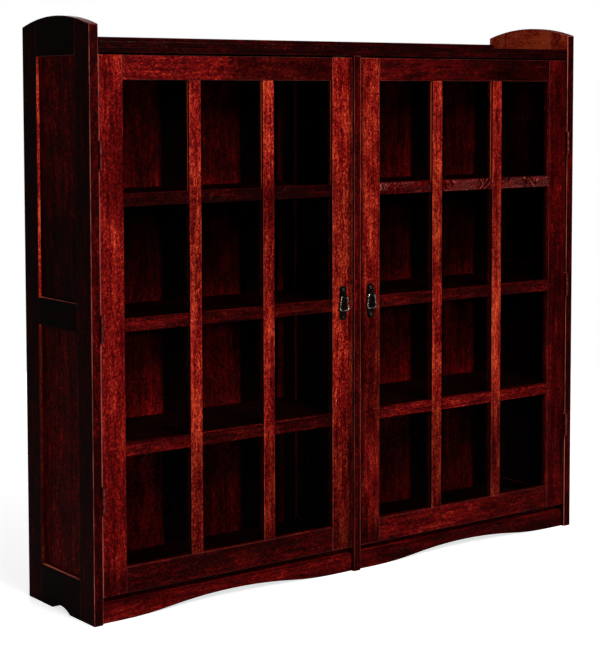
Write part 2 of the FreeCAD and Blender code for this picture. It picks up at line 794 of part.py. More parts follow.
def muntin(column):
    """An upright that runs through in front, its tongue notched for the bars that cross behind."""
    left = column_left(column) - size.muntin_width
    face = box("muntin_face", (left, left + size.muntin_width), (door_face, rabbet_face),
               (glazed_bottom, glazed_top))
    tongue = box("muntin_tongue", (left + size.rabbet_width, left + size.muntin_width - size.rabbet_width),
                 (rabbet_face, door_back),
                 (glazed_bottom - size.rabbet_width, glazed_top + size.rabbet_width))
    notches = [box("muntin_notch", (left, left + size.muntin_width), (rabbet_face, door_back + size.overrun),
                   (row_bottom(row) - size.bar_height + size.rabbet_width,
                    row_bottom(row) - size.rabbet_width))
               for row in range(1, ROWS)]
    return cut("left_door_muntin", fuse("muntin_blank", face, tongue), *notches)


def glazing_bar(row):
    """A level bar whose tongue runs behind the muntins and whose face is cut away where they cross."""
    low = row_bottom(row) - size.bar_height
    face = box("bar_face", (glazed_left, glazed_right), (door_face, rabbet_face),
               (low, low + size.bar_height))
    tongue = box("bar_tongue", (glazed_left - size.rabbet_width, glazed_right + size.rabbet_width),
                 (rabbet_face, door_back),
                 (low + size.rabbet_width, low + size.bar_height - size.rabbet_width))
    notches = [box("bar_notch", (column_left(column) - size.muntin_width, column_left(column)),
                   (door_face - size.overrun, rabbet_face), (low, low + size.bar_height))
               for column in range(1, COLUMNS)]
    return cut("left_door_bar", fuse("bar_blank", face, tongue), *notches)


def panes_and_beads():
    """The glass of each opening, and the four beads that hold it in its rabbet."""
    panes = []
    beads = []
    glass_back = rabbet_face + size.glass_thick
    hold_in = size.rabbet_width - size.glass_play
    for column in range(COLUMNS):
        for row in range(ROWS):
            left, low = column_left(column), row_bottom(row)
            right, high = left + pane_width, low + pane_height
            outer_left, outer_right = left - size.rabbet_width, right + size.rabbet_width
            panes.append(box("pane", (left - hold_in, right + hold_in), (rabbet_face, glass_back),
                             (low - hold_in, high + hold_in)))
            bead_y = (glass_back, door_back)
            beads.append(box("low_bead", (outer_left, outer_right), bead_y, (low - size.rabbet_width, low)))
            beads.append(box("high_bead", (outer_left, outer_right), bead_y,
                             (high, high + size.rabbet_width)))
            beads.append(box("left_bead", (outer_left, left), bead_y, (low, high)))
            beads.append(box("right_bead", (right, outer_right), bead_y, (low, high)))
    return panes, beads


both(group("left_door_muntins", *[muntin(column) for column in range(1, COLUMNS)]))
both(group("left_door_glazing_bars", *[glazing_bar(row) for row in range(1, ROWS)]))
panes, beads = panes_and_beads()
both(group("left_door_glass_panes", *panes))
both(group("left_door_glazing_beads", *beads))

# Hinges and screws, each kind in the node of the body that it is fixed to
pair("case_hinge_leaves", group("left_case_hinge_leaves", *case_leaves))
pair("case_hinge_screws", group("left_case_hinge_screws", *case_leaf_screws))
both(group("left_door_hinge_leaves", *door_leaves))
pair("hinge_pins", group("left_hinge_pins", *[hinge_pin(middle) for middle in hinge_middles()]))
both(group("left_door_screws", *door_leaf_screws, *pull_screws, strike))


def check_document():
    """Stops before anything is written if a feature failed or a piece is not a sound solid."""
    for thing in doc.Objects:
        faults = [state for state in thing.State if state in ("Invalid", "Error")]
        if faults:
            raise RuntimeError("%s is in state %s" % (thing.Label, faults))
    labels = [piece.Label for piece in NODES]
    if len(set(labels)) != len(labels):
        raise RuntimeError("two pieces share a label")
    for piece in NODES:
        if piece.Shape.isNull() or not piece.Shape.isValid() or not piece.Shape.Solids:
            raise RuntimeError("%s has no sound solid" % piece.Label)


doc.recompute()
check_document()
os.makedirs("parts", exist_ok=True)
for piece in NODES:
    piece.Shape.exportStep("parts/%s.step" % piece.Label)
print("%d pieces written" % len(NODES))
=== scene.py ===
"""The looks of a two-door glazed bookcase in dark red stained quarter-sawn oak."""

import math

import bmesh
import bpy
import numpy as np
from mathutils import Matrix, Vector

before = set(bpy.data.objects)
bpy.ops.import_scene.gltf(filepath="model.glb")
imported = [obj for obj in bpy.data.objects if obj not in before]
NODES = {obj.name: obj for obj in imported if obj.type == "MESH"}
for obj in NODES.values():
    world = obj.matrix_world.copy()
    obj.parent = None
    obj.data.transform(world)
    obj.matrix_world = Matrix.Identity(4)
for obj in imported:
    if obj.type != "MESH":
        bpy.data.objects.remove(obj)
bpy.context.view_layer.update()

# ---------------------------------------------------------------- camera and light
CAMERA_PLACE = (-2.8275, -3.6966, 1.2741)
CAMERA_TURN_DEGREES = (90 - 3.878, 0.072, -37.35)
CAMERA_LENS_MM = 95.78
CAMERA_SHIFT = (-0.0266, -0.18)

# Each lamp's place, width and height, watts and the place that it faces, in metres.
LAMPS = {
    "key": ((-0.45, -3.2, 2.5), (1.2, 1.2), 125.0, (0.0, 0.0, 0.75)),
    "left_edge": ((-1.75, -4.2, 1.1), (0.5, 1.6), 28.0, (-0.8, 0.0, 0.75)),
    "rear": ((1.6, 4.2, 2.6), (2.0, 2.0), 110.0, (0.0, 0.0, 0.75)),
}

# The sky's strength as an even fill, and as gloss and glass show it on the side of the
# object's front and of its back. It changes between two directions along Y.
WHITE = (1, 1, 1, 1)
SKY_FILL = 0.06
SKY_SEEN_IN_FRONT = 0.06
SKY_SEEN_BEHIND = 0.3
SKY_CHANGE = (-0.25, 0.35)

# The floor's radius, sides and colour, and its own light as seen and as gloss shows it.
FLOOR_REACH = 3.4
FLOOR_SIDES = 96
FLOOR_PALE = (0.78, 0.78, 0.78, 1)
FLOOR_SEEN = 0.72
FLOOR_SEEN_IN_GLOSS = 0.1

# ---------------------------------------------------------------- edges of the wood
# Widths of a broad and of a fine rounded edge, the shortest edge and the least turn that
# are rounded, the facets of the rounding, and the material slot with its worn finish and
# painted highlight.
WIDE = 0.0016
THIN = 0.0011
SHORTEST_ARRIS = 0.004
SHARP = math.radians(35)
ARRIS_FACETS = 2
WORN_AND_LIT_SLOT = 1

# Faces that turn less than this are one face, and vertices this close are one vertex,
# for the modifiers and for the search for solids. An edge is named by its ends, which
# are told apart in so many steps per metre.
FLAT = math.radians(0.5)
WELD_REACH = 1e-5
SAME_PLACE = 1e-6
STEPS_PER_METRE = 1e6

# Play at the sides of a solid's box, and how far beside an edge a neighbour is sought.
BOX_PLAY = 1e-4
PROBE_REACH = 0.0008

# A face looks along an axis if its normal has more than this share of it.
MOSTLY = 0.7

# ---------------------------------------------------------------- figure of the wood
# Grains: the axes that run along the grain, across the face and into the face.
ALONG_X = ("X", "Z", "Y")
ALONG_Y = ("Y", "Z", "X")
UP_FRONT = ("Z", "X", "Y")
UP_SIDE = ("Z", "Y", "X")
FLAT_BOARD = ("X", "Y", "Z")

# Each stick's own place in the figure, and how far its grain wanders, in metres.
STICK_STEP = (7.3, 3.9, 5.1)
WANDER_WAVES = (1.7, 5.0, 5.0)
GRAIN_WANDER = 0.011

# The figure's soft noises: waves per metre along, across and into, then detail and
# roughness.
FIGURE_NOISES = {
    "rings": ((1.6, 290.0, 55.0), 3.0, 0.6),
    "streaks": ((9.0, 85.0, 50.0), 2.0, 0.5),
    "mottle": ((75.0, 180.0, 180.0), 1.0, 0.6),
    "specks": ((190.0, 290.0, 290.0), 1.0, 0.6),
    "cloud": ((3.2, 7.0, 7.0), 2.0, 0.5),
    "smoke": ((14.0, 26.0, 26.0), 2.0, 0.5),
}

# What each of them weighs in the stain, the roughness and the height.
STAIN_WEIGHTS = {
    "rings": 0.25,
    "streaks": 0.4,
    "mottle": 0.4,
    "specks": 0.6,
    "cloud": 0.3,
    "smoke": 0.35,
}
ROUGHNESS_WEIGHTS = {"rings": 0.16, "cloud": 0.22, "mottle": 0.1}
HEIGHT_WEIGHTS = {"rings": 0.25, "specks": 0.2}

# Every noise's middle, from which its lean is taken, and the stain's middle level.
MIDDLE = 0.5

# Pores: waves per metre, the levels of noise between which they open, and what they do.
PORE_WAVES = (30.0, 1500.0, 900.0)
PORE_LEVELS = (0.60, 0.70)
PORE_DARKENS = 0.75
PORE_ROUGHENS = 0.15
PORE_SINKS = 0.6

# Ray flecks: waves per metre of the noises that bend, lean, draw and gather them, how
# far they bend and lean, how far from its middle a noise still draws them, the levels
# between which the others count, how much the lines sway, and what flecks do.
FLECK_BEND_WAVES = (22.0, 22.0, 22.0)
FLECK_LEAN_WAVES = (11.0, 9.0, 9.0)
FLECK_LINE_WAVES = (95.0, 26.0, 60.0)
FLECK_CLUSTER_WAVES = (8.0, 15.0, 12.0)
FLECK_BEND = 0.02
FLECK_LEAN = 0.7
FLECK_LEAN_LEVELS = (0.4, 0.6)
FLECK_LINE_LEVELS = (0.002, 0.014)
FLECK_CLUSTER_LEVELS = (0.3, 0.6)
FLECK_SWAY = 0.3
FLECK_SMOOTHS = 0.14
FLECK_RAISES = 0.15

# Worn edges with their painted highlight come in patches: their waves per metre, detail and
# roughness, the levels between which they start and are full, and how worn and lit an edge
# is between them and in them.
WORN_AND_LIT_NOISE = ((14.0, 60.0, 60.0), 3.0, 0.65)
WORN_AND_LIT_LEVELS = (0.36, 0.6)
WORN_AND_LIT_RANGE = (0.25, 1.0)

# The bump of the oak, and the specular level of faces and of worn edges.
OAK_BUMP = {"Strength": 0.5, "Distance": 0.0005}
FLAT_GLOSS = 0.01
WORN_GLOSS = 0.06

# The stain from its darkest to its lightest: the level and the colour there.
STAIN = (
    (0.22, (0.010, 0.0003, 0.0004, 1)),
    (0.42, (0.060, 0.0009, 0.0011, 1)),
    (0.50, (0.112, 0.0028, 0.0027, 1)),
    (0.60, (0.205, 0.0070, 0.0045, 1)),
    (0.74, (0.380, 0.0320, 0.0120, 1)),
    (0.88, (0.600, 0.0820, 0.0210, 1)),
)
MIDDLE_RED = STAIN[2][1][0]
DARKEST_TONE = STAIN[0][1][0] / MIDDLE_RED

# The colours of pores, of ray fleck and of worn edges with their painted highlight, before
# the tone darkens them.
PORE = (0.004, 0.0004, 0.0004, 1)
RAY_LIGHT = (0.62, 0.13, 0.11, 1)
WORN_AND_LIT_EDGE = (0.34, 0.080, 0.055, 1)

# ---------------------------------------------------------------- back boards
# Painted light and shade on the back boards, in upright strips: where the lit strips start
# in each bay, their pitch and share of it, how far to each side a change of shade reaches
# and how far a dark seam does, as shares of the pitch, and whole pitches that keep the
# count of strips above zero.
LIT_STRIP_STARTS = (-0.535, 0.325)
LIT_STRIP_PITCH = 0.25
LIT_STRIP_SHARE = 0.5
LIT_STRIP_EASE = 0.04
LIT_STRIP_SEAM = 0.05
SPARE_PITCHES = 8.0

# The floor of each row of books and the underside of what is over it. Painted light pales
# the boards up to a little over the floor, by the row's gain. A painted shadow darkens them
# under the next shelf, from where it starts to where it is full, and it ends behind the shelf.
SHELF_TOPS = (0.0, 0.424, 0.7245, 1.025)
SHELF_UNDERSIDES = (0.404, 0.7045, 1.005, 1.372)
SHELF_LIGHT_GAIN = (0.3, 0.6, 1.6, 1.0)
SHELF_LIGHT_REACH = 0.05
SHADOW_UNDER_SHELF = 0.15
SHADE_STARTS = 0.09
SHADE_FULL = 0.045
BEHIND_SHELF = 0.01

# Painted light of each row as a whole: heights and the light there. It changes behind the
# shelves.
PAINTED_ROW_LIGHT = (
    (0.405, 1.4),
    (0.423, 2.4),
    (0.7055, 2.4),
    (0.7235, 0.65),
    (1.006, 0.65),
    (1.024, 1.15),
)

# ---------------------------------------------------------------- glass, metal, plastic
GLASS_CLEAR = (0.955, 0.97, 0.955, 1)
GLASS_BENDING = 1.03
GLASS_RIPPLE_WAVES = (14.0, 14.0, 9.0)
GLASS_FILM_WAVES = (60.0, 60.0, 25.0)
GLASS_FILM_LEVELS = (0.3, 0.8)
GLASS_ROUGHNESS = (0.01, 0.06)
GLASS_BUMP = {"Strength": 0.25, "Distance": 0.0006}

# Each metal's dark and light colour, roughness and size of its specks in millimetres.
BRONZE_LIGHT = (0.028, 0.023, 0.02, 1)
METALS = {
    "blackened_bronze": ((0.004, 0.0035, 0.0035, 1), BRONZE_LIGHT, 0.34, 1.2),
    "pin_brass_worn": ((0.30, 0.19, 0.07, 1), (0.66, 0.47, 0.19, 1), 0.34, 0.8),
    "rubbed_bronze": (BRONZE_LIGHT, (0.42, 0.38, 0.34, 1), 0.24, 1.6),
    "stained_bronze": ((0.05, 0.006, 0.006, 1), (0.30, 0.045, 0.035, 1), 0.4, 1.2),
}

# What a metal's clouds and specks weigh, the levels between which its colour and its
# roughness change, its bump, the specks in the width of a cloud, and how much rougher
# the dark is and smoother the light.
METAL_WEIGHTS = {"cloud": 1.1, "specks": 0.9}
METAL_COLOUR_LEVELS = (0.35, 0.75)
METAL_ROUGHNESS_LEVELS = (0.2, 0.8)
METAL_BUMP = {"Strength": 0.35, "Distance": 0.0002}
MM_PER_METRE = 1000.0
SPECKS_TO_A_CLOUD = 6
DARK_IS_ROUGHER = 0.15
LIGHT_IS_SMOOTHER = 0.1

CATCH_DARK = (0.03, 0.016, 0.01, 1)
CATCH_LIGHT = (0.06, 0.034, 0.02, 1)
PLASTIC_CLOUD_WAVES = (40.0, 40.0, 40.0)
PLASTIC_GRAIN_WAVES = (1400.0, 1400.0, 1400.0)
PLASTIC_GRAIN_LEVELS = (0.3, 0.7)
PLASTIC_ROUGHNESS = (0.42, 0.58)
PLASTIC_BUMP = {"Strength": 0.3, "Distance": 0.0001}

# The sockets of a Mix node that mixes colours.
MIX_SHARE, MIX_FIRST, MIX_SECOND = 0, 6, 7


# ---------------------------------------------------------------- node helpers
def join(tree, value, socket):
    """Links an output to a socket, or sets the socket to a plain value."""
    if isinstance(value, bpy.types.NodeSocket):
        tree.links.new(value, socket)
    else:
        socket.default_value = value


def add(tree, kind, inputs=None, **settings):
    """A new node with its options set and its inputs joined."""
    node = tree.nodes.new("ShaderNode" + kind)
    for name, value in settings.items():
        setattr(node, name, value)
    for name, value in (inputs or {}).items():
        join(tree, value, node.inputs[name])
    return node


def maths(tree, operation, *values):
    """The result of one sum."""
    return add(tree, "Math", dict(enumerate(values)), operation=operation).outputs[0]


def vector_maths(tree, operation, *values):
    """The result of one sum of vectors."""
    node = add(tree, "VectorMath", dict(enumerate(values)), operation=operation)
    return node.outputs[0]


def mixed(tree, share, first, second, blend_type="MIX"):
    """A colour between two colours, or a blend of them."""
    node = add(tree, "Mix", data_type="RGBA", blend_type=blend_type)
    for place, value in ((MIX_SHARE, share), (MIX_FIRST, first), (MIX_SECOND, second)):
        join(tree, value, node.inputs[place])
    return node.outputs[2]


def ranged(tree, value, low, high, least=0.0, most=1.0):
    """value's place between low and high, eased, as a number from least to most."""
    inputs = {0: value, 1: low, 2: high, 3: least, 4: most}
    return add(tree, "MapRange", inputs, interpolation_type="SMOOTHSTEP").outputs[0]


def noise(tree, place, per_metre, detail, roughness=0.5, distortion=0.0):
    """Soft noise from 0 to 1, with so many waves per metre along each axis."""
    inputs = {
        "Vector": vector_maths(tree, "MULTIPLY", place, per_metre),
        "Scale": 1.0,
        "Detail": detail,
        "Roughness": roughness,
        "Distortion": distortion,
    }
    return add(tree, "TexNoise", inputs).outputs[0]


def weighed(tree, noises, weights):
    """The middle plus each named noise's lean from its own, times its weight."""
    total = MIDDLE
    for name, weight in weights.items():
        lean = maths(tree, "MULTIPLY_ADD", noises[name], weight, -weight * MIDDLE)
        total = maths(tree, "ADD", total, lean)
    return total


def new_material(name):
    """A new material and its empty tree."""
    material = bpy.data.materials.new(name)
    material.use_nodes = True
    material.node_tree.nodes.clear()
    return material, material.node_tree


def show(tree, shader):
    """Joins a shader to the material's surface."""
    add(tree, "OutputMaterial", {"Surface": shader.outputs[0]})


def place_on_object(tree):
    """The place on the object in metres."""
    return add(tree, "TexCoord").outputs["Object"]


# ---------------------------------------------------------------- oak
def figure_sockets(tree):
    """Gives the figure's group its sockets, and returns what it is given."""
    sides = tree.interface
    sides.new_socket("Place", in_out="INPUT", socket_type="NodeSocketVector")
    for name in ("Tone", "Shift", "Contrast", "Fleck", "Wear"):
        sides.new_socket(name, in_out="INPUT", socket_type="NodeSocketFloat")
    sides.new_socket("Colour", in_out="OUTPUT", socket_type="NodeSocketColor")
    for name in ("Roughness", "Height"):
        sides.new_socket(name, in_out="OUTPUT", socket_type="NodeSocketFloat")
    return tree.nodes.new("NodeGroupInput").outputs


def wandering_place(tree, place):
    """The place in a stick's own wood, whose grain wanders a little from straight."""
    island = add(tree, "NewGeometry").outputs["Random Per Island"]
    stick = vector_maths(tree, "SCALE", STICK_STEP)
    join(tree, island, stick.node.inputs["Scale"])
    place = vector_maths(tree, "ADD", place, stick)
    wander = noise(tree, place, WANDER_WAVES, 1.0)
    across = maths(tree, "MULTIPLY_ADD", wander, 2 * GRAIN_WANDER, -GRAIN_WANDER)
    shift = add(tree, "CombineXYZ", {"Y": across}).outputs[0]
    return vector_maths(tree, "ADD", place, shift)


def stain_ramp(tree, level):
    """The colour of the stain at a level."""
    ramp = add(tree, "ValToRGB", {"Fac": level})
    stops = ramp.color_ramp.elements
    stops[0].position, stops[0].color = STAIN[0]
    stops[1].position, stops[1].color = STAIN[-1]
    for place_on_ramp, stain_colour in STAIN[1:-1]:
        stops.new(place_on_ramp).color = stain_colour
    return ramp.outputs[0]


def ray_fleck(tree, place):
    """Ray flecks: thin snaking lines that lean across the grain, in clusters."""
    parts = add(tree, "SeparateXYZ", {0: place}).outputs
    bend = noise(tree, place, FLECK_BEND_WAVES, 1.0)
    lean = noise(tree, place, FLECK_LEAN_WAVES, 0.0)
    lean = ranged(tree, lean, *FLECK_LEAN_LEVELS, -FLECK_LEAN, FLECK_LEAN)
    leaning = maths(tree, "MULTIPLY_ADD", parts["Y"], lean, parts["X"])
    leaning = maths(tree, "MULTIPLY_ADD", bend, FLECK_BEND, leaning)
    bent = add(tree, "CombineXYZ", {"X": leaning, "Y": parts["Y"], "Z": parts["Z"]})
    lines = noise(tree, bent.outputs[0], FLECK_LINE_WAVES, 1.0, distortion=FLECK_SWAY)
    lines = maths(tree, "ABSOLUTE", maths(tree, "SUBTRACT", lines, MIDDLE))
    lines = ranged(tree, lines, *FLECK_LINE_LEVELS, 1.0, 0.0)
    clusters = noise(tree, place, FLECK_CLUSTER_WAVES, 1.0)
    clusters = ranged(tree, clusters, *FLECK_CLUSTER_LEVELS)
    return maths(tree, "MULTIPLY", lines, clusters)


def worn_and_lit_patches(tree, place):
    """The patches in which an edge is lighter: worn, and with a painted highlight."""
    patches = noise(tree, place, *WORN_AND_LIT_NOISE)
    return ranged(tree, patches, *WORN_AND_LIT_LEVELS, *WORN_AND_LIT_RANGE)


def make_oak_figure():
    """The group that turns a place in the wood into colour, roughness and height.

    Place is in metres: X along the grain, Y across the face, Z into the face.
    """
    tree = bpy.data.node_groups.new("quarter_sawn_figure", "ShaderNodeTree")
    given = figure_sockets(tree)
    place = wandering_place(tree, given["Place"])
    noises = {name: noise(tree, place, *facts) for name, facts in FIGURE_NOISES.items()}
    pores = ranged(tree, noise(tree, place, PORE_WAVES, 1.0), *PORE_LEVELS)

    level = weighed(tree, noises, STAIN_WEIGHTS)
    level = maths(tree, "MULTIPLY_ADD", level, given["Contrast"], given["Shift"])
    fleck = maths(tree, "MULTIPLY", ray_fleck(tree, place), given["Fleck"])
    colour = mixed(tree, fleck, stain_ramp(tree, level), RAY_LIGHT)
    colour = mixed(tree, maths(tree, "MULTIPLY", pores, PORE_DARKENS), colour, PORE)
    # Edges lighten in patches: partly worn, partly a painted highlight.
    edge_wear_and_highlight = maths(tree, "MULTIPLY", worn_and_lit_patches(tree, given["Place"]), given["Wear"])
    colour = mixed(tree, edge_wear_and_highlight, colour, WORN_AND_LIT_EDGE)
    tone = add(tree, "CombineXYZ", {name: given["Tone"] for name in "XYZ"})
    colour = mixed(tree, 1.0, colour, tone.outputs[0], "MULTIPLY")

    rough = weighed(tree, noises, ROUGHNESS_WEIGHTS)
    rough = maths(tree, "SUBTRACT", rough, maths(tree, "MULTIPLY", fleck, FLECK_SMOOTHS))
    rough = maths(tree, "MULTIPLY_ADD", pores, PORE_ROUGHENS, rough)
    height = weighed(tree, noises, HEIGHT_WEIGHTS)
    height = maths(tree, "SUBTRACT", height, maths(tree, "MULTIPLY", pores, PORE_SINKS))
    height = maths(tree, "MULTIPLY_ADD", fleck, FLECK_RAISES, height)

    result = tree.nodes.new("NodeGroupOutput")
    for name, value in (("Colour", colour), ("Roughness", rough), ("Height", height)):
        join(tree, value, result.inputs[name])
    return tree


OAK_FIGURE = make_oak_figure()


def stain_level(tone):
    """The level on the stain's ramp of a tone, and what is left over.

    A tone is a share of the middle red. What is darker than the ramp's end is left
    over, as a number to multiply by.
    """
    reds = [colour[0] / MIDDLE_RED for _, colour in STAIN]
    level = float(np.interp(tone, reds, [place for place, _ in STAIN]))
    return level, min(1.0, tone / DARKEST_TONE)


def oak(name, grain, tone, fleck, edge_wear_and_highlight, contrast, shade):
    """Stained oak, made once for each name.

    tone is how light the stain is, and contrast how lively its figure. shade multiplies
    the colour. It and edge_wear_and_highlight are numbers, or make one from the tree and the
    place's axes.
    """
    found = bpy.data.materials.get(name)
    if found:
        return found
    material, tree = new_material(name)
    axes = add(tree, "SeparateXYZ", {0: place_on_object(tree)}).outputs
    place = add(tree, "CombineXYZ", {to: axes[axis] for to, axis in zip("XYZ", grain)})
    figure = tree.nodes.new("ShaderNodeGroup")
    figure.node_tree = OAK_FIGURE
    level, rest = stain_level(tone)
    values = {
        "Place": place.outputs[0],
        "Tone": shade(tree, axes) if callable(shade) else shade * rest,
        "Shift": level - MIDDLE * contrast,
        "Contrast": contrast,
        "Fleck": fleck,
        "Wear": edge_wear_and_highlight(tree, axes) if callable(edge_wear_and_highlight) else edge_wear_and_highlight,
    }
    for socket, value in values.items():
        join(tree, value, figure.inputs[socket])
    bump = add(tree, "Bump", {**OAK_BUMP, "Height": figure.outputs["Height"]})
    looks = {
        "Base Color": figure.outputs["Colour"],
        "Roughness": figure.outputs["Roughness"],
        "Normal": bump.outputs[0],
        "Specular IOR Level": WORN_GLOSS if edge_wear_and_highlight else FLAT_GLOSS,
    }
    show(tree, add(tree, "BsdfPrincipled", looks))
    return material


def fading(**profiles):
    """Makes a shade that eases from level to level along one axis or more.

    Each level is a place on the axis in metres and the shade there.
    """

    def make(tree, axes):
        product = 1.0
        for axis, levels in profiles.items():
            shade = levels[0][1]
            for (low, before), (high, after) in zip(levels, levels[1:]):
                step = ranged(tree, axes[axis], low, high, 0.0, after - before)
                shade = maths(tree, "ADD", shade, step)
            product = maths(tree, "MULTIPLY", product, shade)
        return product

    return make


def strip_by_strip(tree, across, light, dark):
    """Painted light and shade in upright strips, lit and dark in turn, with a seam between them."""
    right = maths(tree, "GREATER_THAN", across, 0.0)
    first, second = LIT_STRIP_STARTS
    start = maths(tree, "MULTIPLY_ADD", right, second - first, first)
    turn = maths(tree, "SUBTRACT", across, start)
    turn = maths(tree, "MULTIPLY_ADD", turn, 1 / LIT_STRIP_PITCH, SPARE_PITCHES)
    turn = maths(tree, "FRACT", turn)
    ends = (LIT_STRIP_SHARE - LIT_STRIP_EASE, LIT_STRIP_SHARE + LIT_STRIP_EASE)
    shade = ranged(tree, turn, *ends, light, dark)
    return maths(tree, "MULTIPLY", shade, ranged(tree, turn, 0.0, LIT_STRIP_SEAM, dark, 1.0))


def row_by_row(tree, height):
    """The painted light and shade of each row of books: paler over its floor, shadowed under its
    shelf.
    """
    shade = 1.0
    for low, high, gain in zip(SHELF_TOPS, SHELF_UNDERSIDES, SHELF_LIGHT_GAIN):
        over = maths(tree, "GREATER_THAN", height, low)
        pale = ranged(tree, height, low, low + SHELF_LIGHT_REACH, gain, 0.0)
        pale = maths(tree, "MULTIPLY_ADD", over, pale, 1.0)
        near = maths(tree, "LESS_THAN", height, high + BEHIND_SHELF)
        ends = (high - SHADE_STARTS, high - SHADE_FULL)
        dim = ranged(tree, height, *ends, 0.0, SHADOW_UNDER_SHELF - 1)
        dim = maths(tree, "MULTIPLY_ADD", near, dim, 1.0)
        shade = maths(tree, "MULTIPLY", shade, maths(tree, "MULTIPLY", pale, dim))
    return shade


def back_light_and_shade(light, dark):
    """Makes the painted light and shade of the back boards, in strips and by row of books."""

    def make(tree, axes):
        boards = strip_by_strip(tree, axes["X"], light, dark)
        rows = row_by_row(tree, axes["Z"])
        shade = maths(tree, "MULTIPLY", boards, rows)
        return maths(tree, "MULTIPLY", shade, fading(Z=PAINTED_ROW_LIGHT)(tree, axes))

    return make


# ---------------------------------------------------------------- other finishes
def clear_glass():
    """Clear sheet glass with a faint ripple."""
    material, tree = new_material("clear_sheet_glass")
    spot = place_on_object(tree)
    ripple = noise(tree, spot, GLASS_RIPPLE_WAVES, 1.0)
    bump = add(tree, "Bump", {**GLASS_BUMP, "Height": ripple}).outputs[0]
    film = noise(tree, spot, GLASS_FILM_WAVES, 3.0)
    rough = ranged(tree, film, *GLASS_FILM_LEVELS, *GLASS_ROUGHNESS)
    through = add(tree, "BsdfTransparent", {"Color": GLASS_CLEAR})
    gloss = add(tree, "BsdfAnisotropic", {"Roughness": rough, "Normal": bump})
    share = add(tree, "Fresnel", {"IOR": GLASS_BENDING, "Normal": bump})
    parts = {0: share.outputs[0], 1: through.outputs[0], 2: gloss.outputs[0]}
    show(tree, add(tree, "MixShader", parts))
    return material


def metal(name, dark, light, roughness, speck_mm):
    """Patinated metal: two colours in clouds and fine specks over a cast surface."""
    material, tree = new_material(name)
    spot = place_on_object(tree)
    waves = MM_PER_METRE / speck_mm
    noises = {
        "cloud": noise(tree, spot, (waves / SPECKS_TO_A_CLOUD,) * 3, 3.0, 0.6),
        "specks": noise(tree, spot, (waves,) * 3, 3.0, 0.7),
    }
    level = weighed(tree, noises, METAL_WEIGHTS)
    share = ranged(tree, level, *METAL_COLOUR_LEVELS)
    ends = (roughness + DARK_IS_ROUGHER, roughness - LIGHT_IS_SMOOTHER)
    bump = add(tree, "Bump", {**METAL_BUMP, "Height": noises["specks"]})
    looks = {
        "Base Color": mixed(tree, share, dark, light),
        "Metallic": 1.0,
        "Roughness": ranged(tree, level, *METAL_ROUGHNESS_LEVELS, *ends),
        "Normal": bump.outputs[0],
    }
    show(tree, add(tree, "BsdfPrincipled", looks))
    return material


def moulded_plastic(name, dark, light):
    """Moulded plastic with a fine grain."""
    material, tree = new_material(name)
    spot = place_on_object(tree)
    cloud = noise(tree, spot, PLASTIC_CLOUD_WAVES, 2.0)
    grain = noise(tree, spot, PLASTIC_GRAIN_WAVES, 2.0)
    bump = add(tree, "Bump", {**PLASTIC_BUMP, "Height": grain})
    looks = {
        "Base Color": mixed(tree, cloud, dark, light),
        "Roughness": ranged(tree, grain, *PLASTIC_GRAIN_LEVELS, *PLASTIC_ROUGHNESS),
        "Normal": bump.outputs[0],
    }
    show(tree, add(tree, "BsdfPrincipled", looks))
    return material


# ---------------------------------------------------------------- arrises
def loose_solids(node):
    """A welded copy of a node's mesh, and the vertices of each of its loose solids."""
    mesh = bmesh.new()
    mesh.from_mesh(node.data)
    bmesh.ops.remove_doubles(mesh, verts=mesh.verts, dist=SAME_PLACE)
    solids = []
    seen = set()
    for start in mesh.verts:
        if start in seen:
            continue
        seen.add(start)
        solid = [start]
        for vertex in solid:
            for edge in vertex.link_edges:
                other = edge.other_vert(vertex)
                if other not in seen:
                    seen.add(other)
                    solid.append(other)
        solids.append(solid)
    return mesh, solids


def box_of(vertices):
    """Lowest and highest corner of some vertices."""
    points = np.array([vertex.co for vertex in vertices])
    return points.min(0), points.max(0)


def edge_key(first, second):
    """A name for an edge by its ends, the same from both sides of a split mesh."""
    ends = [tuple(round(c * STEPS_PER_METRE) for c in point) for point in (first, second)]
    return tuple(sorted(ends))


def is_arris(edge):
    """Whether an edge is long enough and turns outward sharply enough to be rounded."""
    if len(edge.link_faces) != 2 or edge.calc_length() < SHORTEST_ARRIS:
        return False
    return edge.calc_face_angle_signed() >= SHARP


def is_open(edge, own, low, high):
    """Whether just beside an edge's two faces there is no solid's box but its own."""
    middle = (edge.verts[0].co + edge.verts[1].co) / 2
    one, two = (face.normal * PROBE_REACH for face in edge.link_faces)
    for point in (middle + one - two, middle + two - one):
        inside = np.all((low < point) & (point < high), axis=1)
        inside[own] = False
        if inside.any():
            return False
    return True


def keep_weights(data, weights):
    """Keeps the weights with a mesh's own edges, for the modifier that rounds them."""
    values = data.attributes.new("bevel_weight_edge", "FLOAT", "EDGE")
    for edge in data.edges:
        ends = [data.vertices[i].co for i in edge.vertices]
        values.data[edge.index].value = weights.get(edge_key(*ends), 0.0)


def mark_arrises(names):
    """Weighs each wooden node's outward sharp edges: full where open, none at a joint."""
    welded = {name: loose_solids(NODES[name]) for name in names}
    owners = [(name, n) for name in names for n in range(len(welded[name][1]))]
    boxes = [box_of(welded[name][1][n]) for name, n in owners]
    low = np.array([box[0] for box in boxes]) + BOX_PLAY
    high = np.array([box[1] for box in boxes]) - BOX_PLAY
    for name in names:
        mesh, solids = welded[name]
        number_of = {vertex: n for n, solid in enumerate(solids) for vertex in solid}
        weights = {}
        for edge in filter(is_arris, mesh.edges):
            own = owners.index((name, number_of[edge.verts[0]]))
            key = edge_key(edge.verts[0].co, edge.verts[1].co)
            weights[key] = float(is_open(edge, own, low, high))
        keep_weights(NODES[name].data, weights)
        mesh.free()


